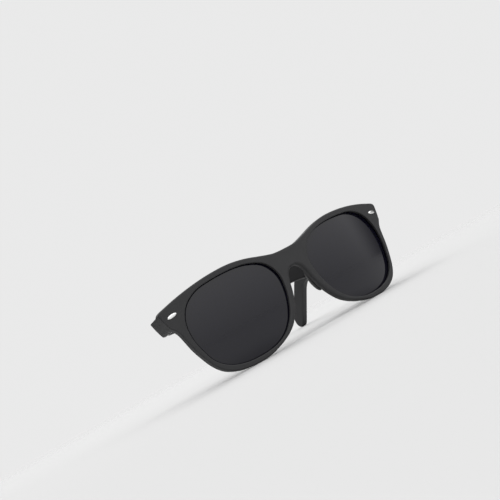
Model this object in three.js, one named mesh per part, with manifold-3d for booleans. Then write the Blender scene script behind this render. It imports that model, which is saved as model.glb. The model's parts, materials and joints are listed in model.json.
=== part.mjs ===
// Folding full-frame sunglasses: a moulded front with two lenses and nose pads, and two side arms
// that fold behind it on five-barrel hinges.
// Millimetres, +Z up. The front faces -Y and +X is the wearer's left. The glasses stand on the two
// rims and the arm tips. At rest the wearer's right arm is folded and the left arm is open.

import * as THREE from "three";
import { mergeVertices } from "three/addons/utils/BufferGeometryUtils.js";
import Module from "manifold-3d";

const wasm = await Module();
wasm.setup();

// ---- driving dimensions ----

const GAP = 0.3;               // clearance between pieces that touch
const OVERCUT = 1;             // how far a cutter runs past what it cuts
const WELD = 0.1;              // overlap of two shapes joined into one piece
const FAR = 40;                // beyond anything in the glasses' depth or height

// Heights of the front are measured from the lens datum line, which crosses both lenses.
const RIM_BOTTOM = -26.8;
const FRONT_RADIUS = 158;      // curve of the front, seen from above
const FRONT_THICKNESS = 5.0;
const FRONT_HALF_WIDTH = 72.5;
const CURVE_STEPS = 36;

const LENS_MIDDLE = [37, -1];  // x and height of the +X lens's middle
const LENS_REACH = [27, 23];   // half width and half height of the lens opening
const LENS_SET_BACK = 2.1;     // from the front's surface to the lens, at the rim
const LENS_BULGE = 1.2;        // how far the middle of the lens stands forward of its edge
const LENS_THICKNESS = 1.5;
const LENS_LIP = 0.8;          // how far the lens reaches into the rim
const LENS_POINTS = 64;
const LENS_STEPS = [20, 18];   // facets of a lens across and up

const LUG_REAR = 34.5;         // depth of the end piece's rear face
const LUG_TOPS = [18.6, 17.25];      // upper edge of the end piece, at the front and at the rear
const LUG_BOTTOMS = [9.1, 7.75];
const ARM_OUTER = 71.4;        // outer face of an open arm
const ARM_THICKNESS = 4.2;
const ARM_INNER = ARM_OUTER - ARM_THICKNESS;

const BARREL_RADIUS = 1.7;
const BARREL_HEIGHT = 1.5;
const BARREL_COUNT = 5;
const BARREL_BORE = 0.85;
const BARREL_SIDES = 20;
const LEAF_THICKNESS = 1.2;
const LEAF_START = 2.1;        // from the hinge axis to the leaf
const LEAF_END = 11;
const LEAF_HALF_HEIGHT = 3.9;
const HINGE_LEVEL = 12.5;      // middle of the hinge, above the datum line
const HINGE_X = ARM_INNER - GAP - BARREL_RADIUS;
const HINGE_Y = LUG_REAR + GAP / 2;

const SCREW_RADIUS = 0.55;
const SCREW_HEAD_RADIUS = 1.3;
const SCREW_HEAD_HEIGHT = 0.6;
const SCREW_SLOT = 0.35;

const PIN_RADIUS = 0.6;        // rivets that fasten the hinge leaves
const PIN_HEAD_RADIUS = 1.0;
const PIN_HEAD_HEIGHT = 0.35;
const PIN_DEPTH = 2.4;         // of a rivet's hole in the plastic
const PIN_SIDES = 12;
const PIN_PLACES = [4.6, 8.6]; // distances of the rivets from the hinge axis

const STUD_X = 67;             // middle of the oval rivet head on the front
const STUD_LEVEL = 14.9;
const STUD_LENGTH = 5.6;
const STUD_WIDTH = 2.0;
const STUD_PROUD = 0.5;
const STUD_SEAT = 0.6;
const STUD_SEGMENTS = 20;
const STUD_SLOPE = -7;         // degrees; the outer end is the lower one
const SHANK_RADIUS = 0.8;
const SHANK_LENGTH = 3.4;

const PAD_MIDDLE = [8.9, 4.2, -2.4];
const PAD_REACH = [2.6, 6.4, 8.2];
const PAD_TURNS = [-0.12, -0.28, -0.3];   // radians about x, y and z
const PAD_SEAT_X = 12;         // where the pad's flat face matches the depth of the rim's back

const ARM_STRAIGHT = 83.8;     // straight stretch of the arm before its bend
const ARM_SLOPE = 4.5;         // degrees that the straight stretch falls
const ARM_DROP = 40;           // degrees that the ear end falls
const ARM_BEND_RADIUS = 35;
const ARM_TIP_LEVEL = 5.25;    // the tip's centre, above the surface that the glasses stand on
const ARM_WIDTHS = [9.5, 9.4, 9.2, 10.4];   // at the hinge, half way, at the bend and at the tip
const ARM_TIP_STEPS = 12;
const CORE_RADIUS = 0.7;
const CORE_START = 14;
const CORE_END_MARGIN = 12;
const CORE_STEPS = 24;
const CORE_SLOT = [3, 1.6];    // length and width of the slot where the wire is let into the arm

const FOLDED_ANGLE = -90;      // turn of the wearer's right arm at rest, from its open place

// ---- materials ----

function plastic(colour, roughness) {
  return new THREE.MeshStandardMaterial({ color: colour, roughness, metalness: 0 });
}

function metal(colour, roughness) {
  return new THREE.MeshStandardMaterial({ color: colour, roughness, metalness: 1 });
}

const MATERIALS = {
  frame: plastic(0x2b2b2d, 0.55),
  lens: plastic(0x17171a, 0.08),
  pad: plastic(0x2e2e30, 0.5),
  stud: metal(0xdadad6, 0.25),
  hinge: metal(0x9a9a98, 0.35),
  screw: metal(0xb0b0ae, 0.3),
  core: metal(0x8f8f8d, 0.4),
};

// ---- geometry helpers ----

function toSolid(geometry) {
  const bare = geometry.clone();
  bare.deleteAttribute("normal");
  bare.deleteAttribute("uv");
  const merged = mergeVertices(bare, 1e-4);
  return new wasm.Manifold(new wasm.Mesh({
    numProp: 3,
    vertProperties: new Float32Array(merged.attributes.position.array),
    triVerts: new Uint32Array(merged.index.array),
  }));
}

function toGeometry(solid) {
  const mesh = solid.getMesh();
  const geometry = new THREE.BufferGeometry();
  geometry.setAttribute("position", new THREE.BufferAttribute(new Float32Array(mesh.vertProperties), 3));
  geometry.setIndex(new THREE.BufferAttribute(new Uint32Array(mesh.triVerts), 1));
  geometry.computeVertexNormals();
  return geometry;
}

// A shape drawn in x and z, extruded from depth y0 to y1.
function prismAlongY(shape, y0, y1) {
  const geometry = new THREE.ExtrudeGeometry(shape, { depth: y1 - y0, bevelEnabled: false });
  geometry.translate(0, 0, -y1);
  geometry.rotateX(Math.PI / 2);
  return toSolid(geometry);
}

// A shape drawn in x and y, extruded from height z0 to z1.
function prismAlongZ(shape, z0, z1) {
  const geometry = new THREE.ExtrudeGeometry(shape, { depth: z1 - z0, bevelEnabled: false });
  geometry.translate(0, 0, z0);
  return toSolid(geometry);
}

// A shape drawn in y and z, extruded from x0 to x1.
function prismAlongX(shape, x0, x1) {
  const geometry = new THREE.ExtrudeGeometry(shape, { depth: x1 - x0, bevelEnabled: false });
  geometry.translate(0, 0, x0);
  const axes = [new THREE.Vector3(0, 1, 0), new THREE.Vector3(0, 0, 1), new THREE.Vector3(1, 0, 0)];
  geometry.applyMatrix4(new THREE.Matrix4().makeBasis(...axes));
  return toSolid(geometry);
}

function block(x0, x1, y0, y1, z0, z1) {
  const geometry = new THREE.BoxGeometry(x1 - x0, y1 - y0, z1 - z0);
  geometry.translate((x0 + x1) / 2, (y0 + y1) / 2, (z0 + z1) / 2);
  return toSolid(geometry);
}

// A cylinder on the Z axis through x = y = 0.
function post(radius, z0, z1, sides) {
  const geometry = new THREE.CylinderGeometry(radius, radius, z1 - z0, sides);
  geometry.rotateX(Math.PI / 2);
  geometry.translate(0, 0, (z0 + z1) / 2);
  return toSolid(geometry);
}

// A cylinder along X at the given y and z.
function dowel(radius, x0, x1, y, z, sides) {
  const geometry = new THREE.CylinderGeometry(radius, radius, x1 - x0, sides);
  geometry.rotateZ(Math.PI / 2);
  geometry.translate((x0 + x1) / 2, y, z);
  return toSolid(geometry);
}

function shapeOf(pairs) {
  return new THREE.Shape(pairs.map(([a, b]) => new THREE.Vector2(a, b)));
}

function mirrored(geometry) {
  const copy = geometry.clone();
  copy.scale(-1, 1, 1);
  const index = copy.index.array;
  for (let i = 0; i < index.length; i += 3) {
    [index[i], index[i + 1]] = [index[i + 1], index[i]];
  }
  copy.computeVertexNormals();
  return copy;
}

function splinePoints(pairs, count, closed) {
  const knots = pairs.map(([x, z]) => new THREE.Vector3(x, z, 0));
  const curve = new THREE.CatmullRomCurve3(knots, closed, "centripetal");
  const points = curve.getSpacedPoints(count).map((p) => new THREE.Vector2(p.x, p.y));
  return closed ? points.slice(0, -1) : points;
}

// ---- outlines of the front ----

// The +X half of the outline, from the top of the bridge round to the top of the nose arch.
const BROW = [[0, 17.8], [7, 18.8], [14, 20.7], [22, 23.2], [31, 24.8], [41, 24.9], [51, 24], [61, 22.2],
  [70.3, 19.8]];
const CORNER = [[70.3, 19.8], [72.4, 18.9], [72.5, 17.1]];
const END_SIDE = [[72.5, 17.1], [71.3, 12.2], [70.1, 9]];
const RIM_SIDE = [[70.1, 9], [67.9, 6.2], [66.8, 2.6], [65.3, -4.4], [63.1, -11], [60, -17.8],
  [56, -22.5], [49.6, -25.6], [41, RIM_BOTTOM], [33, -26.2], [25.3, -23.8]];
const NOSE_SIDE = [[25.3, -23.8], [20.1, -21.3], [15.3, -17.9], [11.7, -13.3], [8.9, -8.2], [7, -2.8],
  [5.5, 3], [4.3, 5.8], [2.5, 7.9], [0, 8.6]];

// The edge of the +X lens opening.
const OPENING = [[63.4, 0], [62.8, 8.6], [59, 16], [52, 20.5], [44, 21.8], [30, 21.8], [22, 20.3],
  [14.1, 16.4], [9.8, 8.6], [10.2, -0.4], [12.7, -8.3], [16.7, -15.3], [22.6, -20.6], [30, -23.4],
  [38, -24.1], [46, -23.4], [53.3, -20.8], [58.9, -15.5], [61.9, -7.6]];

// The end piece's slanted outer side, seen from the front, with the room that it lies in.
const LUG_SECTION = [[58, 0], [67.6, 0], [70.1, 9], [72.5, 17.1], [72.4, 18.9], [72, 30], [58, 30]];

function frontOutline() {
  const half = [
    ...splinePoints(BROW, 26, false),
    ...splinePoints(CORNER, 3, false).slice(1),
    ...splinePoints(END_SIDE, 2, false).slice(1),
    ...splinePoints(RIM_SIDE, 28, false).slice(1),
    ...splinePoints(NOSE_SIDE, 22, false).slice(1),
  ];
  const other = half.slice(1, -1).reverse().map((p) => new THREE.Vector2(-p.x, p.y));
  return new THREE.Shape([...half, ...other]);
}

// The lens opening's edge moved outwards by the given distance.
function openingOutline(outwards) {
  const points = splinePoints(OPENING, LENS_POINTS, true);
  const moved = points.map((point, i) => {
    const before = points[(i + points.length - 1) % points.length];
    const after = points[(i + 1) % points.length];
    const along = after.clone().sub(before).normalize();
    return new THREE.Vector2(point.x + along.y * outwards, point.y - along.x * outwards);
  });
  return new THREE.Shape(moved);
}

// ---- the front ----

function frontDepth(x) {
  return (x * x) / (2 * FRONT_RADIUS);
}

// A sheet that follows the curve of the front between two distances behind its surface.
function curvedSlab(x0, x1, behind0, behind1) {
  const front = [];
  const back = [];
  for (let i = 0; i <= CURVE_STEPS; i += 1) {
    const x = x0 + ((x1 - x0) * i) / CURVE_STEPS;
    front.push([x, frontDepth(x) + behind0]);
    back.unshift([x, frontDepth(x) + behind1]);
  }
  return prismAlongZ(shapeOf([...front, ...back]), -FAR, FAR);
}

// Depth of the +X lens's front surface, which is domed.
function lensDepth(x, z) {
  const across = (x - LENS_MIDDLE[0]) / LENS_REACH[0];
  const up = (z - LENS_MIDDLE[1]) / LENS_REACH[1];
  return frontDepth(x) + LENS_SET_BACK - LENS_BULGE * (1 - across * across - up * up);
}

// A sheet that follows the +X lens between two distances behind its front surface.
function lensSheet(behind0, behind1) {
  const width = 2 * (LENS_REACH[0] + LENS_LIP + OVERCUT);
  const height = 2 * (LENS_REACH[1] + LENS_LIP + OVERCUT);
  const geometry = new THREE.BoxGeometry(width, behind1 - behind0, height, LENS_STEPS[0], 1, LENS_STEPS[1]);
  geometry.translate(LENS_MIDDLE[0], (behind0 + behind1) / 2, LENS_MIDDLE[1]);
  const places = geometry.attributes.position;
  for (let i = 0; i < places.count; i += 1) {
    places.setY(i, places.getY(i) + lensDepth(places.getX(i), places.getZ(i)));
  }
  return toSolid(geometry);
}

// The end piece runs back from the front's corner to the hinge, and falls with the arm.
function makeLug() {
  const plan = shapeOf([
    [59, frontDepth(59) + 1], [66, frontDepth(66) + 1], [72.4, frontDepth(72.4) + 1],
    [73, LUG_REAR], [ARM_INNER, LUG_REAR], [ARM_INNER, 23.5], [65.4, 20.4], [59, frontDepth(59) + 4],
  ]);
  const start = frontDepth(ARM_INNER);
  const side = shapeOf([
    [0, LUG_BOTTOMS[0]], [start, LUG_BOTTOMS[0]], [LUG_REAR, LUG_BOTTOMS[1]],
    [LUG_REAR, LUG_TOPS[1]], [start, LUG_TOPS[0]], [0, LUG_TOPS[0]],
  ]);
  const sides = prismAlongX(side, 0, 2 * FAR).intersect(prismAlongY(shapeOf(LUG_SECTION), 0, FAR));
  return prismAlongZ(plan, 0, FAR).intersect(sides);
}

const studSlope = THREE.MathUtils.degToRad(STUD_SLOPE);

// The stud's own axis is the outward normal of the front where it sits.
function placeOnFront(geometry) {
  geometry.rotateX(Math.PI / 2);
  geometry.rotateZ(Math.atan(STUD_X / FRONT_RADIUS));
  geometry.translate(STUD_X, frontDepth(STUD_X), STUD_LEVEL);
  return geometry;
}

// An oval plug, larger than the stud's head by the given margin.
function ovalPlug(margin, low, high) {
  const shape = new THREE.Shape();
  const halfLength = STUD_LENGTH / 2 + margin;
  shape.absellipse(0, 0, halfLength, STUD_WIDTH / 2 + margin, 0, Math.PI * 2, false, studSlope);
  const settings = { depth: high - low, bevelEnabled: false, curveSegments: STUD_SEGMENTS };
  const geometry = new THREE.ExtrudeGeometry(shape, settings);
  geometry.translate(0, 0, low);
  return toSolid(placeOnFront(geometry));
}

function studShank(radius, low, high) {
  const geometry = new THREE.CylinderGeometry(radius, radius, high - low, PIN_SIDES);
  geometry.rotateX(Math.PI / 2);
  geometry.translate(0, 0, (low + high) / 2);
  return toSolid(placeOnFront(geometry));
}

function makeStud() {
  const dome = new THREE.SphereGeometry(1, STUD_SEGMENTS, STUD_SEGMENTS / 2);
  dome.scale(STUD_LENGTH / 2, STUD_WIDTH / 2, STUD_PROUD);
  dome.rotateZ(studSlope);
  const head = ovalPlug(0, GAP - STUD_SEAT, 0).add(toSolid(placeOnFront(dome)));
  return toGeometry(head.add(studShank(SHANK_RADIUS, -SHANK_LENGTH, -GAP)));
}

function leafPinPlaces() {
  return PIN_PLACES.map((distance) => HINGE_Y - distance);
}

function makeFrontFrame() {
  const edge = FRONT_HALF_WIDTH + OVERCUT;
  const lug = makeLug();
  const plate = curvedSlab(-edge, edge, 0, FRONT_THICKNESS);
  let frame = plate.intersect(prismAlongY(frontOutline(), -FAR, FAR));
  frame = frame.add(lug).add(toSolid(mirrored(toGeometry(lug))));
  const groove = lensSheet(-GAP, LENS_THICKNESS + GAP);
  const cutters = [
    prismAlongY(openingOutline(0), -FAR, FAR),
    groove.intersect(prismAlongY(openingOutline(LENS_LIP + GAP), -FAR, FAR)),
    ovalPlug(GAP, -STUD_SEAT, OVERCUT),
    studShank(SHANK_RADIUS + GAP, -SHANK_LENGTH - GAP, OVERCUT),
  ];
  for (const y of leafPinPlaces()) {
    const end = ARM_INNER + PIN_DEPTH;
    cutters.push(dowel(PIN_RADIUS + GAP, ARM_INNER - OVERCUT, end, y, HINGE_LEVEL, PIN_SIDES));
  }
  for (const cutter of cutters) {
    frame = frame.subtract(cutter).subtract(toSolid(mirrored(toGeometry(cutter))));
  }
  return toGeometry(frame);
}

function makeLens() {
  const blank = lensSheet(0, LENS_THICKNESS);
  return toGeometry(blank.intersect(prismAlongY(openingOutline(LENS_LIP), -FAR, FAR)));
}

// A half teardrop on the back of the rim beside the nose.
function makeNosePad() {
  const drop = new THREE.SphereGeometry(1, 24, 14);
  drop.scale(...PAD_REACH);
  drop.rotateX(PAD_TURNS[0]);
  drop.rotateZ(PAD_TURNS[2]);
  drop.rotateY(PAD_TURNS[1]);
  drop.translate(...PAD_MIDDLE);
  const seat = FRONT_THICKNESS + GAP + frontDepth(PAD_SEAT_X);
  const rear = block(0, FAR, seat, FAR, -FAR, FAR);
  return toGeometry(toSolid(drop).intersect(rear));
}

// ---- hinges, in the frame of the hinge axis: x outwards, y back along the open arm ----

function barrelLevels(own) {
  const pitch = BARREL_HEIGHT + GAP;
  const levels = [];
  for (let i = own; i < BARREL_COUNT; i += 2) {
    levels.push((i - (BARREL_COUNT - 1) / 2) * pitch);
  }
  return levels;
}

// One hinge half. Direction -1 is the front's half, with three barrels, and 1 the arm's, with two.
function makeHingeHalf(direction) {
  const x1 = BARREL_RADIUS;
  const x0 = x1 - LEAF_THICKNESS;
  const span = [direction * LEAF_START, direction * LEAF_END].sort((a, b) => a - b);
  let half = block(x0, x1, span[0], span[1], -LEAF_HALF_HEIGHT, LEAF_HALF_HEIGHT);
  for (const level of barrelLevels(direction < 0 ? 0 : 1)) {
    const low = level - BARREL_HEIGHT / 2;
    const high = level + BARREL_HEIGHT / 2;
    const reach = direction * (LEAF_START + WELD);
    half = half.add(post(BARREL_RADIUS, low, high, BARREL_SIDES));
    half = half.add(block(x0, x1, Math.min(0, reach), Math.max(0, reach), low, high));
  }
  half = half.subtract(post(BARREL_BORE, -FAR, FAR, BARREL_SIDES));
  for (const place of PIN_PLACES) {
    const y = direction * place;
    half = half.subtract(dowel(PIN_RADIUS + GAP, x0 - OVERCUT, x1 + OVERCUT, y, 0, PIN_SIDES));
  }
  return toGeometry(half);
}

function makeHingeScrew() {
  const top = (BARREL_COUNT * BARREL_HEIGHT + (BARREL_COUNT - 1) * GAP) / 2;
  const headBottom = top + GAP;
  const headTop = headBottom + SCREW_HEAD_HEIGHT;
  const shank = post(SCREW_RADIUS, -top, headBottom + WELD, BARREL_SIDES);
  const head = post(SCREW_HEAD_RADIUS, headBottom, headTop, BARREL_SIDES);
  const reach = SCREW_HEAD_RADIUS + OVERCUT;
  const half = SCREW_SLOT / 2;
  const slot = block(-reach, reach, -half, half, headTop - SCREW_SLOT, headTop + OVERCUT);
  return toGeometry(shank.add(head).subtract(slot));
}

// A rivet through a hinge leaf into the plastic behind it.
function makeLeafPin() {
  const seat = BARREL_RADIUS - LEAF_THICKNESS - GAP;
  const end = BARREL_RADIUS + PIN_DEPTH - GAP;
  const shank = dowel(PIN_RADIUS, seat - WELD, end, 0, 0, PIN_SIDES);
  const head = dowel(PIN_HEAD_RADIUS, seat - PIN_HEAD_HEIGHT, seat, 0, 0, PIN_SIDES);
  return toGeometry(shank.add(head));
}

// ---- arms, in the frame of the hinge axis, open ----

const slope = THREE.MathUtils.degToRad(ARM_SLOPE);
const drop = THREE.MathUtils.degToRad(ARM_DROP);
const bendStart = ARM_STRAIGHT / Math.cos(slope);
const bendLength = ARM_BEND_RADIUS * (drop - slope);
const bendY = ARM_STRAIGHT + ARM_BEND_RADIUS * (Math.sin(drop) - Math.sin(slope));
const bendZ = -ARM_STRAIGHT * Math.tan(slope) - ARM_BEND_RADIUS * (Math.cos(slope) - Math.cos(drop));
const tipZ = RIM_BOTTOM + ARM_TIP_LEVEL - HINGE_LEVEL;
const tipLength = (bendZ - tipZ) / Math.sin(drop);
const armLength = bendStart + bendLength + tipLength;
const coreEnd = armLength - CORE_END_MARGIN;

// The arm's centre line: place and falling angle at a distance along it.
function armPlace(distance) {
  if (distance <= bendStart) {
    return { y: distance * Math.cos(slope), z: -distance * Math.sin(slope), angle: slope };
  }
  if (distance <= bendStart + bendLength) {
    const angle = slope + (distance - bendStart) / ARM_BEND_RADIUS;
    return {
      y: ARM_STRAIGHT + ARM_BEND_RADIUS * (Math.sin(angle) - Math.sin(slope)),
      z: -ARM_STRAIGHT * Math.tan(slope) - ARM_BEND_RADIUS * (Math.cos(slope) - Math.cos(angle)),
      angle,
    };
  }
  const beyond = distance - bendStart - bendLength;
  return { y: bendY + beyond * Math.cos(drop), z: bendZ - beyond * Math.sin(drop), angle: drop };
}

function armWidth(distance) {
  const [butt, middle, ear, tip] = ARM_WIDTHS;
  const half = bendStart / 2;
  if (distance < half) {
    return THREE.MathUtils.lerp(butt, middle, distance / half);
  }
  if (distance < bendStart) {
    return THREE.MathUtils.lerp(middle, ear, distance / half - 1);
  }
  return THREE.MathUtils.lerp(ear, tip, (distance - bendStart) / (armLength - bendStart));
}

function armOutline() {
  const start = GAP / 2;
  const distances = [start];
  for (let i = 1; i <= 4; i += 1) {
    distances.push(start + ((bendStart - start) * i) / 4);
  }
  for (let i = 1; i <= 6; i += 1) {
    distances.push(bendStart + (bendLength * i) / 6);
  }
  distances.push(armLength);
  const upper = [];
  const lower = [];
  for (const distance of distances) {
    const { y, z, angle } = armPlace(distance);
    const half = armWidth(distance) / 2;
    const lean = distance === start ? 0 : half * Math.sin(angle);
    upper.push([y + lean, z + half * Math.cos(angle)]);
    lower.unshift([y - lean, z - half * Math.cos(angle)]);
  }
  const end = armPlace(armLength);
  const tipRadius = armWidth(armLength) / 2;
  const round = [];
  for (let i = 1; i < ARM_TIP_STEPS; i += 1) {
    const turn = Math.PI / 2 - (Math.PI * i) / ARM_TIP_STEPS - end.angle;
    round.push([end.y + tipRadius * Math.cos(turn), end.z + tipRadius * Math.sin(turn)]);
  }
  return shapeOf([...upper, ...round, ...lower]);
}

// The core wire's channel or the wire itself, along the centre line.
function coreTube(radius, from, to) {
  const x = BARREL_RADIUS + GAP + ARM_THICKNESS / 2;
  const points = [];
  for (let i = 0; i <= CORE_STEPS; i += 1) {
    const { y, z } = armPlace(from + ((to - from) * i) / CORE_STEPS);
    points.push(new THREE.Vector3(x, y, z));
  }
  const section = new THREE.Shape();
  section.absarc(0, 0, radius, 0, Math.PI * 2);
  const path = new THREE.CatmullRomCurve3(points);
  const settings = { extrudePath: path, steps: CORE_STEPS, curveSegments: 8 };
  return toSolid(new THREE.ExtrudeGeometry(section, settings));
}

function makeArm() {
  const x0 = BARREL_RADIUS + GAP;
  const middle = x0 + ARM_THICKNESS / 2;
  let arm = prismAlongX(armOutline(), x0, x0 + ARM_THICKNESS);
  for (const place of PIN_PLACES) {
    arm = arm.subtract(dowel(PIN_RADIUS + GAP, x0 - OVERCUT, x0 + PIN_DEPTH, place, 0, PIN_SIDES));
  }
  arm = arm.subtract(coreTube(CORE_RADIUS + GAP, CORE_START - GAP, coreEnd + GAP));
  // The wire is let in through a slot in the arm's inner face, which keeps its channel open.
  const { y, z } = armPlace(CORE_START);
  const [length, width] = CORE_SLOT;
  return toGeometry(arm.subtract(block(x0 - OVERCUT, middle, y, y + length, z - width / 2, z + width / 2)));
}

function makeCore() {
  return toGeometry(coreTube(CORE_RADIUS, CORE_START, coreEnd));
}

// ---- assembly ----

function named(name, geometry, material) {
  const mesh = new THREE.Mesh(geometry, material.clone());
  mesh.name = name;
  return mesh;
}

// Builds one side's pieces. The wearer's left is +X, and the right side is its mirror image.
function addSide(group, side) {
  const left = side === "left";
  const sign = left ? 1 : -1;
  const own = (geometry) => (left ? geometry : mirrored(geometry));

  group.add(named(`lens_${side}`, own(makeLens()), MATERIALS.lens));
  group.add(named(`nose_pad_${side}`, own(makeNosePad()), MATERIALS.pad));
  group.add(named(`front_rivet_${side}`, own(makeStud()), MATERIALS.stud));

  const fixed = new THREE.Group();
  fixed.position.set(sign * HINGE_X, HINGE_Y, HINGE_LEVEL);
  fixed.add(named(`front_hinge_${side}`, own(makeHingeHalf(-1)), MATERIALS.hinge));
  fixed.add(named(`hinge_screw_${side}`, own(makeHingeScrew()), MATERIALS.screw));
  group.add(fixed);

  const turning = new THREE.Group();
  turning.position.copy(fixed.position);
  turning.rotation.z = left ? 0 : THREE.MathUtils.degToRad(FOLDED_ANGLE);
  turning.add(named(`temple_hinge_${side}`, own(makeHingeHalf(1)), MATERIALS.hinge));
  turning.add(named(`temple_${side}`, own(makeArm()), MATERIALS.frame));
  turning.add(named(`temple_core_${side}`, own(makeCore()), MATERIALS.core));
  group.add(turning);

  PIN_PLACES.forEach((place, i) => {
    for (const [owner, parent, direction] of [["front", fixed, -1], ["temple", turning, 1]]) {
      const pin = named(`${owner}_leaf_pin_${side}_${i + 1}`, own(makeLeafPin()), MATERIALS.screw);
      pin.position.y = direction * place;
      parent.add(pin);
    }
  });
}

const glasses = new THREE.Group();
glasses.add(named("front_frame", makeFrontFrame(), MATERIALS.frame));
addSide(glasses, "left");
addSide(glasses, "right");

// The origin is under the middle of the glasses, on the surface that they stand on.
glasses.updateMatrixWorld(true);
const box = new THREE.Box3().setFromObject(glasses, true);
glasses.position.set(-(box.min.x + box.max.x) / 2, -(box.min.y + box.max.y) / 2, -box.min.z);

const group = new THREE.Group();
group.add(glasses);

export default group;
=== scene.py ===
import json
import math

import bmesh
import bpy
import numpy as np
from mathutils import Matrix, Vector


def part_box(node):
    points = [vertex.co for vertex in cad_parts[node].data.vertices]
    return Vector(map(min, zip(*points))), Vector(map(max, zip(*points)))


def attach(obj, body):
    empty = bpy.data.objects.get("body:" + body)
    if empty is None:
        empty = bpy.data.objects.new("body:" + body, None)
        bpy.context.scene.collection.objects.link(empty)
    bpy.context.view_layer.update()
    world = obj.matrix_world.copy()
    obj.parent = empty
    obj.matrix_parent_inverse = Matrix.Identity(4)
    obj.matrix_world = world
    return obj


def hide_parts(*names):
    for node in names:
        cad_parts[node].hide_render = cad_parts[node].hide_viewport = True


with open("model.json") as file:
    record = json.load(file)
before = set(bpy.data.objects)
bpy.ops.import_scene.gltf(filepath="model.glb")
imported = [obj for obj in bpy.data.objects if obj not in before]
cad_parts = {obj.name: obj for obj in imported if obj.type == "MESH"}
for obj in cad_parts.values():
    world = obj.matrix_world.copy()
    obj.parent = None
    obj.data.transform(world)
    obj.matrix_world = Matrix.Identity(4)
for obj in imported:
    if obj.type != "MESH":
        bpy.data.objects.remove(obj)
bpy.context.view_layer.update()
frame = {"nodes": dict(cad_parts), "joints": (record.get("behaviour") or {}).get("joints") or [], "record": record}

MM = 0.001
SIDES = ("left", "right")
NODES = frame["nodes"]
JOINTS = {joint["name"]: joint for joint in frame["joints"]}

# ---- places taken from the frame; everything is built for the wearer's left, which is +X ----

FRONT_LOW, FRONT_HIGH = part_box("front_frame")
ARM_LOW, ARM_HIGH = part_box("temple_left")
PAD_LOW, PAD_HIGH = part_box("nose_pad_left")
HINGE_LOW, HINGE_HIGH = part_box("front_hinge_left")
HINGE_AXIS = Vector(JOINTS["left_arm_fold"]["pos_m"])

FRONT_RADIUS = 158 * MM            # curve of the front, seen from above
FRONT_THICKNESS = 5.0 * MM
FRONT_FACE = FRONT_LOW.y           # depth of the bridge's front surface
LENS_REACH = (27 * MM, 23 * MM)    # half width and half height of the lens opening
LENS_MIDDLE = (37 * MM, 25.8 * MM)
LENS_SET_BACK = 2.1 * MM
LENS_BULGE = 1.2 * MM
LENS_THICKNESS = 1.5 * MM
SURFACE_TOLERANCE = 0.05 * MM
SAME_PLACE = 1e-6
OPENING_WIDTHS = (20 * MM, 80 * MM)   # a lens opening's outline is between these, unlike the smaller holes
OUTLINE_STEP = 0.4 * MM
OUTER_BLUR = 0.6 * MM
OPENING_BLUR = 0.8 * MM
LENS_OUTLINE_STEP = 0.9 * MM
LENS_BLUR = 0.9 * MM
ARM_OUTLINE_STEP = 0.45 * MM
ARM_BLUR = 0.9 * MM


# ---- outlines, read from the CAD nodes ----

def front_depth(x):
    return FRONT_FACE + x * x / (2 * FRONT_RADIUS)


def lens_depth(x, z):
    """Depth of the +X lens's domed front surface."""
    across = (x - LENS_MIDDLE[0]) / LENS_REACH[0]
    up = (z - LENS_MIDDLE[1]) / LENS_REACH[1]
    return front_depth(x) + LENS_SET_BACK - LENS_BULGE * (1 - across * across - up * up)


def welded(node):
    """The node's mesh as a bmesh with its shared vertices joined."""
    mesh = bmesh.new()
    mesh.from_mesh(NODES[node].data)
    bmesh.ops.remove_doubles(mesh, verts=mesh.verts, dist=SAME_PLACE)
    return mesh


def face_loops(node, lies_on_face):
    """The closed edge loops round the part of a node's surface whose vertices pass the test."""
    mesh = welded(node)
    faces = {face for face in mesh.faces if all(lies_on_face(v.co) for v in face.verts)}
    links = {}
    for edge in mesh.edges:
        inside = [face for face in edge.link_faces if face in faces]
        if len(inside) == 1:
            a, b = edge.verts
            links.setdefault(a, []).append(b)
            links.setdefault(b, []).append(a)
    loops = []
    while links:
        start = min(links, key=lambda v: v.index)
        loop = [start]
        before, here = None, start
        while True:
            onward = [v for v in links[here] if v is not before]
            before, here = here, onward[0]
            if here is start:
                break
            loop.append(here)
        for vertex in loop:
            links.pop(vertex)
        loops.append(np.array([tuple(v.co) for v in loop]))
    mesh.free()
    return loops


def resampled(loop, step, blur):
    """A closed 2-D loop with even spacing, gently smoothed over the distance blur, anticlockwise."""
    closed = np.vstack([loop, loop[:1]])
    travel = np.concatenate([[0], np.cumsum(np.linalg.norm(np.diff(closed, axis=0), axis=1))])
    count = int(round(travel[-1] / step))
    even = np.linspace(0, travel[-1], count, endpoint=False)
    points = np.stack([np.interp(even, travel, closed[:, k]) for k in (0, 1)], axis=1)
    reach = int(math.ceil(3 * blur / step))
    weights = np.exp(-0.5 * (np.arange(-reach, reach + 1) * step / blur) ** 2)
    weights /= weights.sum()
    points = sum(w * np.roll(points, k - reach, axis=0) for k, w in enumerate(weights))
    x, z = points[:, 0], points[:, 1]
    area = np.sum(x * np.roll(z, -1) - np.roll(x, -1) * z)
    return points if area > 0 else points[::-1]


def on_front_surface(point):
    return abs(point.y - front_depth(point.x)) < SURFACE_TOLERANCE


def front_outlines():
    """The front's outer outline and its +X lens opening, as (x, z) loops."""
    loops = [loop[:, [0, 2]] for loop in face_loops("front_frame", on_front_surface)]
    widths = [np.ptp(loop[:, 0]) for loop in loops]
    outer = loops[int(np.argmax(widths))]
    least, most = OPENING_WIDTHS
    opening = next(p for p, w in zip(loops, widths) if least < w < most and p[:, 0].mean() > 0)
    return resampled(outer, OUTLINE_STEP, OUTER_BLUR), resampled(opening, OUTLINE_STEP, OPENING_BLUR)


def lens_outline():
    loops = face_loops("lens_left", lambda p: abs(p.y - lens_depth(p.x, p.z)) < SURFACE_TOLERANCE)
    return resampled(loops[0][:, [0, 2]], LENS_OUTLINE_STEP, LENS_BLUR)


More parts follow.
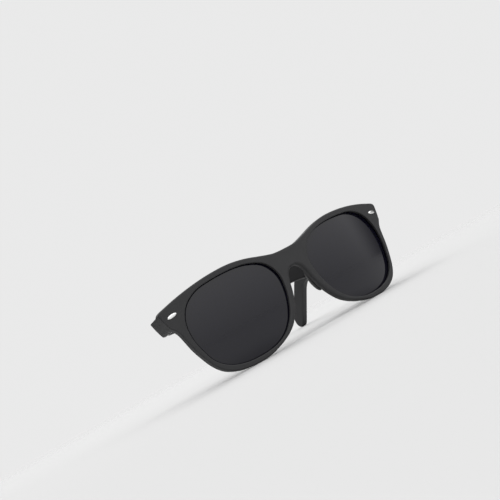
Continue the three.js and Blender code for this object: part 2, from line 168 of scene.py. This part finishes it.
def arm_outline():
    loops = face_loops("temple_left", lambda p: abs(p.x - ARM_HIGH.x) < SURFACE_TOLERANCE)
    return resampled(loops[0][:, [1, 2]], ARM_OUTLINE_STEP, ARM_BLUR)


# ---- signed distances and the surface made from them ----

def loop_distance(points, loop):
    """Signed distance from 2-D points to a closed loop, negative inside."""
    best = np.full(len(points), np.inf)
    inside = np.zeros(len(points), bool)
    for a, b in zip(loop, np.roll(loop, -1, axis=0)):
        along = b - a
        offset = points - a
        share = np.clip(offset @ along / max(along @ along, 1e-18), 0, 1)
        gap = offset - share[:, None] * along
        best = np.minimum(best, np.einsum("ij,ij->i", gap, gap))
        crosses = (a[1] > points[:, 1]) != (b[1] > points[:, 1])
        with np.errstate(divide="ignore", invalid="ignore"):
            meet = a[0] + (points[:, 1] - a[1]) * along[0] / along[1]
        inside ^= crosses & (points[:, 0] < meet)
    return np.where(inside, -1, 1) * np.sqrt(best)


def round_both(a, b, radius):
    """Where both distances are negative, with a rounded edge."""
    corner = np.hypot(np.maximum(a + radius, 0), np.maximum(b + radius, 0))
    return np.minimum(np.maximum(a, b), -radius) + corner


def round_either(a, b, radius):
    """Where either distance is negative, with a filleted corner."""
    corner = np.hypot(np.maximum(radius - a, 0), np.maximum(radius - b, 0))
    return np.maximum(np.minimum(a, b), radius) - corner


def surface_net(values, origin, step):
    """Vertices and quads of the zero surface of a grid of signed distances."""
    shape = np.array(values.shape)
    negative = values < 0
    cells = shape - 1
    total = np.zeros(tuple(cells) + (3,))
    hits = np.zeros(tuple(cells), int)
    for axis in range(3):
        low = [slice(None)] * 3
        high = [slice(None)] * 3
        low[axis], high[axis] = slice(0, -1), slice(1, None)
        a, b = values[tuple(low)], values[tuple(high)]
        cross = negative[tuple(low)] != negative[tuple(high)]
        share = np.where(cross, a / np.where(cross, a - b, 1), 0)
        others = [k for k in range(3) if k != axis]
        for i in (0, 1):
            for j in (0, 1):
                pick = [slice(None)] * 3
                pick[others[0]] = slice(i, i + cells[others[0]])
                pick[others[1]] = slice(j, j + cells[others[1]])
                crossed = cross[tuple(pick)]
                hits += crossed
                total[..., axis] += np.where(crossed, share[tuple(pick)], 0)
                total[..., others[0]] += np.where(crossed, i, 0)
                total[..., others[1]] += np.where(crossed, j, 0)
    used = hits > 0
    index = np.full(tuple(cells), -1)
    index[used] = np.arange(used.sum())
    corner = np.argwhere(used)
    vertices = origin + step * (corner + total[used] / hits[used][:, None])
    quads = []
    for axis in range(3):
        low = [slice(1, -1)] * 3
        high = [slice(1, -1)] * 3
        low[axis], high[axis] = slice(0, -1), slice(1, None)
        cross = negative[tuple(low)] != negative[tuple(high)]
        place = np.argwhere(cross)
        others = [k for k in range(3) if k != axis]
        place[:, others] += 1
        ring = []
        for i, j in ((-1, -1), (0, -1), (0, 0), (-1, 0)):
            cell = place.copy()
            cell[:, others[0]] += i
            cell[:, others[1]] += j
            ring.append(index[tuple(cell.T)])
        quad = np.stack(ring, axis=1)
        outward = negative[tuple(place.T)] != (axis == 1)
        quad[~outward] = quad[~outward][:, ::-1]
        quads.append(quad)
    return vertices, np.vstack(quads)


# ---- building pieces ----

LEFT_TO_RIGHT = Matrix.Scale(-1, 4, Vector((1, 0, 0)))


def right_arm_matrix():
    """Takes an open left arm to the folded right arm."""
    left = HINGE_AXIS
    right = Vector(JOINTS["right_arm_fold"]["pos_m"])
    fold = Matrix.Rotation(-math.pi / 2, 4, "Z")
    return Matrix.Translation(right) @ fold @ LEFT_TO_RIGHT @ Matrix.Translation(-left)


def make_piece(name, vertices, faces, material, body, nodes, matrix=None, flat_faces=()):
    """A mesh piece that rides on a body and stands for the given nodes."""
    mesh = bpy.data.meshes.new(name)
    flip = matrix is not None and matrix.determinant() < 0
    faces = [tuple(reversed(face)) if flip else tuple(face) for face in faces]
    mesh.from_pydata([tuple(v) for v in vertices], [], faces)
    if matrix is not None:
        mesh.transform(matrix)
    mesh.update()
    mesh.polygons.foreach_set("use_smooth", [True] * len(mesh.polygons))
    for i in flat_faces:
        mesh.polygons[i].use_smooth = False
    mesh.materials.append(material)
    piece = bpy.data.objects.new(name, mesh)
    bpy.context.scene.collection.objects.link(piece)
    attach(piece, body)
    if nodes:
        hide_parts(*nodes)
    return piece


def side_matrix(side, body):
    if side == "left":
        return None
    return LEFT_TO_RIGHT if body == "front" else right_arm_matrix()


def inset(loop, distance):
    """A closed anticlockwise loop moved inwards."""
    along = np.roll(loop, -1, axis=0) - np.roll(loop, 1, axis=0)
    along /= np.linalg.norm(along, axis=1)[:, None]
    return loop + distance * np.stack([-along[:, 1], along[:, 0]], axis=1)


def ring_faces(rings, count):
    """Quads between rings of equal count, laid one after the other."""
    faces = []
    for r in range(rings - 1):
        for i in range(count):
            j = (i + 1) % count
            faces.append((r * count + i, r * count + j, (r + 1) * count + j, (r + 1) * count + i))
    return faces


# ---- the front ----

GRID_STEP = 0.34 * MM
OUTER_ROUNDING = 0.7 * MM
OPENING_ROUNDING = 0.3 * MM
NOSE_ROUNDING = 1.7 * MM           # the softer edge round the nose gap
NOSE_EDGE = (14 * MM, 21 * MM)     # x where that edge starts to sharpen, and where it ends
NOSE_TOP = 36 * MM
LUG_FILLET = 2.2 * MM
LUG_ROUNDING = 0.5 * MM
LUG_HALF_HEIGHT = 4.75 * MM
LUG_LENGTH = 20 * MM               # stretch over which the end piece falls towards the arm
LUG_FALL = 0.067                   # slope of that fall
LUG_CORNER_DEPTH = 11 * MM         # from the end piece's rear face to where it starts to widen
LUG_WIDENING = 0.75                # sideways slope of that widening
LUG_SIDE = (70.1 * MM, 35.8 * MM)  # a place on the end piece's slanted outer side, and its slope
LUG_SIDE_SLOPE = 0.296
LUG_SIDE_INSET = 0.225 * MM        # makes up for the bulge where the two outlines are joined
GROOVE_DEPTH = 1.1 * MM
GROOVE_CLEARANCE = 0.3 * MM
SETTLING_STEPS = 2
SLOPE_STEP = 0.02 * MM
LEAST_SLOPE_SQUARED = 0.25
GRID_MARGIN = 3 * GRID_STEP


def front_distance(x, y, z, to_outer, to_opening):
    """Signed distance to the +X half of the front, from the places and their outline distances."""
    behind = y - front_depth(x)
    slab = np.abs(behind - FRONT_THICKNESS / 2) - FRONT_THICKNESS / 2

    before_rear = FRONT_HIGH.y - y
    middle = (HINGE_LOW.z + HINGE_HIGH.z) / 2 + LUG_FALL * np.clip(before_rear, 0, LUG_LENGTH)
    height = np.abs(z - middle) - LUG_HALF_HEIGHT
    side = x - LUG_SIDE[0] - LUG_SIDE_SLOPE * (z - LUG_SIDE[1])
    side = np.maximum(side, x - FRONT_HIGH.x) + LUG_SIDE_INSET
    inner = ARM_LOW.x - LUG_WIDENING * np.maximum(before_rear - LUG_CORNER_DEPTH, 0) - x
    lug = round_both(round_both(-before_rear, height, LUG_ROUNDING), inner, LUG_ROUNDING)
    lug = np.maximum(lug, FRONT_THICKNESS / 2 - behind)

    outline = round_either(to_outer, round_both(side, height, LUG_ROUNDING), LUG_ROUNDING)
    nose = np.clip((NOSE_EDGE[1] - x) / (NOSE_EDGE[1] - NOSE_EDGE[0]), 0, 1) * (z < NOSE_TOP)
    rounding = OUTER_ROUNDING + (NOSE_ROUNDING - OUTER_ROUNDING) * nose
    body = round_both(round_either(slab, lug, LUG_FILLET), outline, rounding)
    body = round_both(body, -to_opening, OPENING_ROUNDING)
    groove = np.abs(y - lens_depth(x, z) - LENS_THICKNESS / 2) - LENS_THICKNESS / 2 - GROOVE_CLEARANCE
    groove = np.maximum(groove, to_opening - GROOVE_DEPTH)
    return np.maximum(body, -groove)


def grid_sample(grid, start, x, z):
    """Values between the points of a 2-D grid."""
    i = (x - start[0]) / GRID_STEP
    k = (z - start[1]) / GRID_STEP
    i0 = np.clip(i.astype(int), 0, grid.shape[0] - 2)
    k0 = np.clip(k.astype(int), 0, grid.shape[1] - 2)
    u, w = i - i0, k - k0
    low = grid[i0, k0] * (1 - w) + grid[i0, k0 + 1] * w
    high = grid[i0 + 1, k0] * (1 - w) + grid[i0 + 1, k0 + 1] * w
    return low * (1 - u) + high * u


def settled(points, distance):
    """Points moved on to the surface where the distance is zero."""
    for _ in range(SETTLING_STEPS):
        here = distance(points)
        slopes = []
        for axis in range(3):
            shift = np.zeros(3)
            shift[axis] = SLOPE_STEP
            slopes.append((distance(points + shift) - distance(points - shift)) / (2 * SLOPE_STEP))
        slope = np.stack(slopes, axis=1)
        move = -here / np.maximum(np.sum(slope * slope, axis=1), LEAST_SLOPE_SQUARED)
        points = points + np.clip(move, -GRID_STEP / 3, GRID_STEP / 3)[:, None] * slope
    return points


def make_front(material):
    """The +X half from its signed distance, cut at the middle and mirrored."""
    x = np.arange(-GRID_MARGIN, FRONT_HIGH.x + GRID_MARGIN, GRID_STEP)
    y = np.arange(FRONT_LOW.y - GRID_MARGIN, FRONT_HIGH.y + GRID_MARGIN, GRID_STEP)
    z = np.arange(FRONT_LOW.z - GRID_MARGIN, FRONT_HIGH.z + GRID_MARGIN, GRID_STEP)
    outer, opening = front_outlines()
    flat = np.stack(np.meshgrid(x, z, indexing="ij"), axis=-1).reshape(-1, 2)
    to_outer = loop_distance(flat, outer).reshape(len(x), len(z))
    to_opening = loop_distance(flat, opening).reshape(len(x), len(z))
    grid = np.meshgrid(x, y, z, indexing="ij", sparse=True)
    values = front_distance(*grid, to_outer[:, None, :], to_opening[:, None, :])
    vertices, quads = surface_net(values, np.array([x[0], y[0], z[0]]), GRID_STEP)

    def distance(points):
        px, py, pz = points.T
        corner = (x[0], z[0])
        return front_distance(px, py, pz, grid_sample(to_outer, corner, px, pz),
                              grid_sample(to_opening, corner, px, pz))

    vertices = settled(vertices, distance)
    mesh = bpy.data.meshes.new("half")
    mesh.from_pydata(vertices.tolist(), [], quads.tolist())
    half = bmesh.new()
    half.from_mesh(mesh)
    geometry = half.verts[:] + half.edges[:] + half.faces[:]
    bmesh.ops.bisect_plane(half, geom=geometry, dist=SAME_PLACE / 10, plane_co=(0, 0, 0),
                           plane_no=(-1, 0, 0), clear_outer=True)
    geometry = half.verts[:] + half.edges[:] + half.faces[:]
    bmesh.ops.mirror(half, geom=geometry, axis="X", merge_dist=SAME_PLACE)
    bmesh.ops.recalc_face_normals(half, faces=half.faces[:])
    half.verts.index_update()
    whole = [tuple(v.co) for v in half.verts]
    faces = [tuple(v.index for v in face.verts) for face in half.faces]
    half.free()
    return make_piece("front", whole, faces, material, "front", ["front_frame"])


# ---- lenses ----

LENS_RINGS = 24
LENS_EDGE = 0.25 * MM


def make_lens(side, material):
    """Rings of the lens's outline from the middle of its front, over the edge, to the middle of its back."""
    outline = lens_outline()
    middle = np.array(LENS_MIDDLE)
    shares = np.linspace(0, 1, LENS_RINGS + 1)[1:]
    loops = [(middle + (inset(outline, LENS_EDGE) - middle) * share, 0) for share in shares]
    loops += [(outline, LENS_EDGE), (outline, LENS_THICKNESS - LENS_EDGE)]
    loops += [(loop, LENS_THICKNESS) for loop, _ in reversed(loops[:LENS_RINGS])]
    vertices = []
    for loop, behind in loops:
        vertices += [(x, lens_depth(x, z) + behind, z) for x, z in loop]
    count = len(outline)
    faces = [tuple(reversed(face)) for face in ring_faces(len(loops), count)]
    depth = lens_depth(*middle)
    vertices += [(middle[0], depth, middle[1]), (middle[0], depth + LENS_THICKNESS, middle[1])]
    front_middle, last = len(vertices) - 2, (len(loops) - 1) * count
    for i in range(count):
        j = (i + 1) % count
        faces.append((front_middle, i, j))
        faces.append((front_middle + 1, last + j, last + i))
    node = f"lens_{side}"
    return make_piece(f"{node}_glazing", vertices, faces, material, "front", [node],
                      side_matrix(side, "front"))


# ---- side arms ----

ARM_ROUNDING = 0.9 * MM
ROUNDING_STEPS = 6


def make_arm(side, material):
    """The arm's outline between two flat sides, with rounded edges."""
    outline = arm_outline()
    count = len(outline)
    vertices = []
    angles = [math.pi / 2 * k / ROUNDING_STEPS for k in range(ROUNDING_STEPS + 1)]
    for turn in angles:
        for y, z in inset(outline, ARM_ROUNDING * (1 - math.sin(turn))):
            vertices.append((ARM_LOW.x + ARM_ROUNDING * (1 - math.cos(turn)), y, z))
    for turn in reversed(angles):
        for y, z in inset(outline, ARM_ROUNDING * (1 - math.sin(turn))):
            vertices.append((ARM_HIGH.x - ARM_ROUNDING * (1 - math.cos(turn)), y, z))
    rings = 2 * len(angles)
    faces = ring_faces(rings, count)
    faces.append(tuple(reversed(range(count))))
    faces.append(tuple(range((rings - 1) * count, rings * count)))
    flat = (len(faces) - 2, len(faces) - 1)
    body = f"temple_{side}"
    return make_piece(f"arm_{side}", vertices, faces, material, body, [f"temple_{side}"],
                      side_matrix(side, body), flat)


# ---- nose pads ----

PAD_RINGS = 20
PAD_POINTS = 32
PAD_FLAT = 0.35                    # where the pad's flat side cuts its oval, as a share of the half depth
PAD_SLIMNESS = 0.62                # share of the box's half width that the oval takes
PAD_LEAN = 0.35                    # share of the half width by which the ends lean sideways
PAD_SEAT = 0.3 * MM                # closes the clearance between pad and rim


def make_nose_pad(side, material):
    """Half an oval drop that leans with the side of the nose."""
    middle = (PAD_LOW + PAD_HIGH) / 2
    half = (PAD_HIGH - PAD_LOW) / 2
    vertices = []
    for r in range(PAD_RINGS + 1):
        polar = math.pi * r / PAD_RINGS
        for i in range(PAD_POINTS):
            turn = 2 * math.pi * i / PAD_POINTS
            reach = math.sin(polar)
            vertices.append((reach * math.cos(turn), reach * math.sin(turn), math.cos(polar)))
    points = np.array(vertices)
    share = (np.maximum(points[:, 1], -PAD_FLAT) + PAD_FLAT) / (1 + PAD_FLAT)
    x = middle.x + (points[:, 0] * PAD_SLIMNESS - points[:, 2] * PAD_LEAN) * half.x
    y = PAD_LOW.y - PAD_SEAT + share * (PAD_HIGH.y - PAD_LOW.y)
    z = middle.z + points[:, 2] * half.z
    faces = ring_faces(PAD_RINGS + 1, PAD_POINTS)
    return make_piece(f"pad_{side}", np.stack([x, y, z], axis=1), faces, material, "front",
                      [f"nose_pad_{side}"], side_matrix(side, "front"))


# ---- rivets, hinges and screws ----

RIVET_LENGTH = 5.6 * MM
RIVET_WIDTH = 2.0 * MM
RIVET_PROUD = 0.5 * MM
RIVET_SLOPE = math.radians(-7)
RIVET_X = 67 * MM
RIVET_LEVEL = 41.7 * MM
RIVET_SEAT = 0.4 * MM              # how far the head goes into the front
RIVET_RINGS = 12
RIVET_POINTS = 48


def make_rivet(side, material):
    """An oval head with a low dome and a narrow rounded rim."""
    turns = [2 * math.pi * i / RIVET_POINTS for i in range(RIVET_POINTS)]
    rings = [(1, RIVET_SEAT)]
    for r in range(RIVET_RINGS):
        share = 1 - r / RIVET_RINGS
        rings.append((share, -RIVET_PROUD * (1 - share ** 4) ** 0.5))
    vertices = []
    for share, depth in rings:
        for turn in turns:
            x = RIVET_LENGTH / 2 * share * math.cos(turn)
            z = RIVET_WIDTH / 2 * share * math.sin(turn)
            vertices.append((x, depth, z))
    vertices.append((0, -RIVET_PROUD, 0))
    faces = ring_faces(len(rings), RIVET_POINTS)
    last = (len(rings) - 1) * RIVET_POINTS
    for i in range(RIVET_POINTS):
        faces.append((last + i, last + (i + 1) % RIVET_POINTS, len(vertices) - 1))
    faces.append(tuple(reversed(range(RIVET_POINTS))))
    slope = Matrix.Rotation(-RIVET_SLOPE, 4, "Y")
    tangent = Matrix.Rotation(math.atan(RIVET_X / FRONT_RADIUS), 4, "Z")
    place = Matrix.Translation((RIVET_X, front_depth(RIVET_X), RIVET_LEVEL)) @ tangent @ slope
    matrix = side_matrix(side, "front")
    matrix = place if matrix is None else matrix @ place
    return make_piece(f"rivet_{side}", vertices, faces, material, "front",
                      [f"front_rivet_{side}"], matrix)


METAL_EDGE = 0.08 * MM
METAL_EDGE_ANGLE = math.radians(40)


def soften_edges(obj):
    """A narrow bevel on the sharp edges of a hinge piece, which catches the light."""
    edge = obj.modifiers.new("edge", "BEVEL")
    edge.width = METAL_EDGE
    edge.segments = 2
    edge.limit_method = "ANGLE"
    edge.angle_limit = METAL_EDGE_ANGLE


# ---- materials ----
# Noise scales are per metre, and bump depths are in metres.

PLASTIC_GRAIN = 9000
PLASTIC_GRAIN_DEPTH = 0.02 * MM
PLASTIC_GRAIN_STRENGTH = 0.35
PLASTIC_PATCHES = 120
PLASTIC_GLOSS_SPREAD = 0.05
PLASTIC_IOR = 1.49
PLASTIC_SPECULAR = 0.22
LENS_SMEARS = 60
LENS_ROUGHNESS = (0.02, 0.07)
LENS_IOR = 1.5
METAL_GLOSS_SPREAD = (0.7, 1.3)
METAL_GRAIN = 2500
POLISHED_GRAIN = 3000
METAL_GRAIN_DEPTH = 0.01 * MM
METAL_GRAIN_STRENGTH = 0.2


def new_material(name, colour, roughness, metallic=0.0):
    material = bpy.data.materials.new(name)
    material.use_nodes = True
    shader = material.node_tree.nodes["Principled BSDF"]
    shader.inputs["Base Color"].default_value = (*colour, 1)
    shader.inputs["Roughness"].default_value = roughness
    shader.inputs["Metallic"].default_value = metallic
    return material, material.node_tree, shader


def position_noise(tree, scale, detail):
    """Noise in the object's own space, which doesn't change from view to view."""
    place = tree.nodes.new("ShaderNodeTexCoord")
    noise = tree.nodes.new("ShaderNodeTexNoise")
    noise.inputs["Scale"].default_value = scale
    noise.inputs["Detail"].default_value = detail
    tree.links.new(place.outputs["Object"], noise.inputs["Vector"])
    return noise.outputs["Fac"]


def ranged(tree, value, low, high):
    node = tree.nodes.new("ShaderNodeMapRange")
    node.inputs["To Min"].default_value = low
    node.inputs["To Max"].default_value = high
    tree.links.new(value, node.inputs["Value"])
    return node.outputs["Result"]


def add_bump(tree, shader, height, distance, strength):
    bump = tree.nodes.new("ShaderNodeBump")
    bump.inputs["Distance"].default_value = distance
    bump.inputs["Strength"].default_value = strength
    tree.links.new(height, bump.inputs["Height"])
    tree.links.new(bump.outputs["Normal"], shader.inputs["Normal"])


def add_colour_range(tree, shader, value, dark, light):
    mix = tree.nodes.new("ShaderNodeMix")
    mix.data_type = "RGBA"
    mix.inputs[6].default_value = (*dark, 1)
    mix.inputs[7].default_value = (*light, 1)
    tree.links.new(value, mix.inputs[0])
    tree.links.new(mix.outputs[2], shader.inputs["Base Color"])


def matte_plastic(name, dark, light, roughness):
    """Fine moulded texture with faint handling marks in the gloss."""
    material, tree, shader = new_material(name, dark, roughness)
    grain = position_noise(tree, PLASTIC_GRAIN, 2)
    patches = position_noise(tree, PLASTIC_PATCHES, 4)
    add_colour_range(tree, shader, patches, dark, light)
    gloss = ranged(tree, patches, roughness - PLASTIC_GLOSS_SPREAD, roughness + PLASTIC_GLOSS_SPREAD)
    tree.links.new(gloss, shader.inputs["Roughness"])
    add_bump(tree, shader, grain, PLASTIC_GRAIN_DEPTH, PLASTIC_GRAIN_STRENGTH)
    shader.inputs["IOR"].default_value = PLASTIC_IOR
    shader.inputs["Specular IOR Level"].default_value = PLASTIC_SPECULAR
    return material


def lens_material():
    """Polished smoke grey with faint smears in the gloss."""
    material, tree, shader = new_material("lens_smoke", (0.0028, 0.0026, 0.0068), LENS_ROUGHNESS[0])
    smears = position_noise(tree, LENS_SMEARS, 3)
    tree.links.new(ranged(tree, smears, *LENS_ROUGHNESS), shader.inputs["Roughness"])
    shader.inputs["IOR"].default_value = LENS_IOR
    return material


def metal(name, colour, roughness, scale):
    material, tree, shader = new_material(name, colour, roughness, 1.0)
    grain = position_noise(tree, scale, 3)
    least, most = METAL_GLOSS_SPREAD
    tree.links.new(ranged(tree, grain, roughness * least, roughness * most), shader.inputs["Roughness"])
    add_bump(tree, shader, grain, METAL_GRAIN_DEPTH, METAL_GRAIN_STRENGTH)
    return material


# ---- stage ----

CAMERA_PLACE = Vector((-0.229, -0.5145, 0.0194))
CAMERA_TURN = math.radians(-26.07)      # to the right of straight ahead
CAMERA_TILT = math.radians(3.95)        # upwards
CAMERA_ROLL = math.radians(28.8)
CAMERA_LENS = 67.8                      # millimetres
CAMERA_SENSOR = 36
CAMERA_CLIP_START = 0.01                # metres


def make_camera():
    data = bpy.data.cameras.new("camera")
    data.lens = CAMERA_LENS
    data.sensor_width = CAMERA_SENSOR
    data.clip_start = CAMERA_CLIP_START
    camera = bpy.data.objects.new("camera", data)
    bpy.context.scene.collection.objects.link(camera)
    turn = Matrix.Rotation(CAMERA_TURN, 4, "Z")
    tilt = Matrix.Rotation(math.pi / 2 + CAMERA_TILT, 4, "X")
    roll = Matrix.Rotation(-CAMERA_ROLL, 4, "Z")
    camera.matrix_world = Matrix.Translation(CAMERA_PLACE) @ turn @ tilt @ roll
    bpy.context.scene.camera = camera


FLOOR_RADIUS = 1.0
FLOOR_SHADE = 0.5
FLOOR_ROUGHNESS = 0.9
FLOOR_GRAIN = 900
FLOOR_GRAIN_DEPTH = 0.05 * MM
FLOOR_GRAIN_STRENGTH = 0.1
FLOOR_FADE_START = 0.12
FLOOR_FADE_END = 0.9


def make_floor():
    """A pale disc that fades out into the surroundings."""
    bpy.ops.mesh.primitive_circle_add(vertices=96, radius=FLOOR_RADIUS, fill_type="NGON")
    floor = bpy.context.object
    floor.name = "floor"
    material, tree, shader = new_material("floor_paper", (FLOOR_SHADE,) * 3, FLOOR_ROUGHNESS)
    shader.inputs["Specular IOR Level"].default_value = 0.0
    grain = position_noise(tree, FLOOR_GRAIN, 3)
    add_bump(tree, shader, grain, FLOOR_GRAIN_DEPTH, FLOOR_GRAIN_STRENGTH)
    place = tree.nodes.new("ShaderNodeTexCoord")
    length = tree.nodes.new("ShaderNodeVectorMath")
    length.operation = "LENGTH"
    tree.links.new(place.outputs["Object"], length.inputs[0])
    fade = tree.nodes.new("ShaderNodeMapRange")
    fade.interpolation_type = "SMOOTHSTEP"
    fade.inputs["From Min"].default_value = FLOOR_FADE_START
    fade.inputs["From Max"].default_value = FLOOR_FADE_END
    fade.inputs["To Min"].default_value = 1
    fade.inputs["To Max"].default_value = 0
    tree.links.new(length.outputs["Value"], fade.inputs["Value"])
    tree.links.new(fade.outputs["Result"], shader.inputs["Alpha"])
    floor.data.materials.append(material)


def add_light(name, place, target, size, power):
    data = bpy.data.lights.new(name, "AREA")
    data.shape = "RECTANGLE"
    data.size, data.size_y = size
    data.energy = power
    light = bpy.data.objects.new(name, data)
    bpy.context.scene.collection.objects.link(light)
    light.location = place
    light.rotation_mode = "QUATERNION"
    light.rotation_quaternion = (Vector(target) - Vector(place)).to_track_quat("-Z", "Y")


BACKDROP_LIGHT = 0.82              # the plain backdrop behind the glasses
HORIZON_LIGHT = 0.80
OVERHEAD_LIGHT = 2.1
LIGHT_HEIGHTS = (-0.05, 0.8)       # sine of the height where the light starts to grow, and where it is full
# Unlit parts of the studio: their direction in degrees from +Y towards +X, the half angles from which
# they are fully dark and from which they start, and the light that is left in them.
DARK_SIDES = ((-62, 42, 66, 0.06), (70, 20, 44, 0.12))


def dark_side(tree, direction, turn, full, start, light):
    """The share of light left, from 1 outside the dark part to less inside it."""
    facing = tree.nodes.new("ShaderNodeVectorMath")
    facing.operation = "DOT_PRODUCT"
    facing.inputs[1].default_value = (math.sin(math.radians(turn)), math.cos(math.radians(turn)), 0)
    tree.links.new(direction, facing.inputs[0])
    shade = tree.nodes.new("ShaderNodeMapRange")
    shade.interpolation_type = "SMOOTHSTEP"
    shade.inputs["From Min"].default_value = math.cos(math.radians(start))
    shade.inputs["From Max"].default_value = math.cos(math.radians(full))
    shade.inputs["To Min"].default_value = 1
    shade.inputs["To Max"].default_value = light
    tree.links.new(facing.outputs["Value"], shade.inputs["Value"])
    return shade.outputs["Result"]


def make_world():
    """White light that is stronger from above and weak from two sides, and an even backdrop."""
    world = bpy.data.worlds.new("studio")
    bpy.context.scene.world = world
    world.use_nodes = True
    tree = world.node_tree
    direction = tree.nodes.new("ShaderNodeTexCoord")
    parts = tree.nodes.new("ShaderNodeSeparateXYZ")
    tree.links.new(direction.outputs["Generated"], parts.inputs[0])
    height = tree.nodes.new("ShaderNodeMapRange")
    height.inputs["From Min"].default_value = LIGHT_HEIGHTS[0]
    height.inputs["From Max"].default_value = LIGHT_HEIGHTS[1]
    height.inputs["To Min"].default_value = HORIZON_LIGHT
    height.inputs["To Max"].default_value = OVERHEAD_LIGHT
    tree.links.new(parts.outputs["Z"], height.inputs["Value"])
    light = height.outputs["Result"]
    for side in DARK_SIDES:
        share = tree.nodes.new("ShaderNodeMath")
        share.operation = "MULTIPLY"
        tree.links.new(light, share.inputs[0])
        tree.links.new(dark_side(tree, direction.outputs["Generated"], *side), share.inputs[1])
        light = share.outputs["Value"]
    rays = tree.nodes.new("ShaderNodeLightPath")
    strength = tree.nodes.new("ShaderNodeMix")
    strength.inputs["B"].default_value = BACKDROP_LIGHT
    tree.links.new(rays.outputs["Is Camera Ray"], strength.inputs["Factor"])
    tree.links.new(light, strength.inputs["A"])
    background = tree.nodes["Background"]
    background.inputs["Color"].default_value = (1, 1, 1, 1)
    tree.links.new(strength.outputs["Result"], background.inputs["Strength"])


SOFTBOX_PLACE = (0.1, 0.55, 0.85)
SOFTBOX_TARGET = (0, 0, 0.03)
SOFTBOX_SIZE = (0.7, 0.4)
SOFTBOX_POWER = 1.5


def make_lights():
    add_light("rim_softbox", SOFTBOX_PLACE, SOFTBOX_TARGET, SOFTBOX_SIZE, SOFTBOX_POWER)
    bpy.context.scene.view_settings.view_transform = "Standard"


# ---- build ----

CHARCOAL = ((0.025, 0.025, 0.0261), (0.032, 0.032, 0.0332))   # darkest and lightest

frame_plastic = matte_plastic("frame_matte", *CHARCOAL, 0.58)
pad_plastic = matte_plastic("pad_satin", *CHARCOAL, 0.42)
lens_tint = lens_material()
rivet_metal = metal("rivet_silver", (0.86, 0.86, 0.85), 0.22, POLISHED_GRAIN)
hinge_metal = metal("hinge_nickel", (0.42, 0.42, 0.41), 0.36, METAL_GRAIN)
screw_metal = metal("screw_nickel", (0.66, 0.66, 0.65), 0.28, METAL_GRAIN)
wire_metal = metal("core_steel", (0.5, 0.5, 0.5), 0.4, METAL_GRAIN)

make_camera()
make_floor()
make_world()
make_lights()
make_front(frame_plastic)
for side in SIDES:
    make_lens(side, lens_tint)
    make_arm(side, frame_plastic)
    make_nose_pad(side, pad_plastic)
    make_rivet(side, rivet_metal)

CARRIED = {"hinge_metal": hinge_metal, "screw_metal": screw_metal, "core_wire": wire_metal}
slots = {part["node"]: part["material_slot"] for part in frame["record"]["subparts"]}
for node, obj in NODES.items():
    if slots[node] in CARRIED:
        obj.data.materials.clear()
        obj.data.materials.append(CARRIED[slots[node]])
        if slots[node] != "core_wire":
            soften_edges(obj)
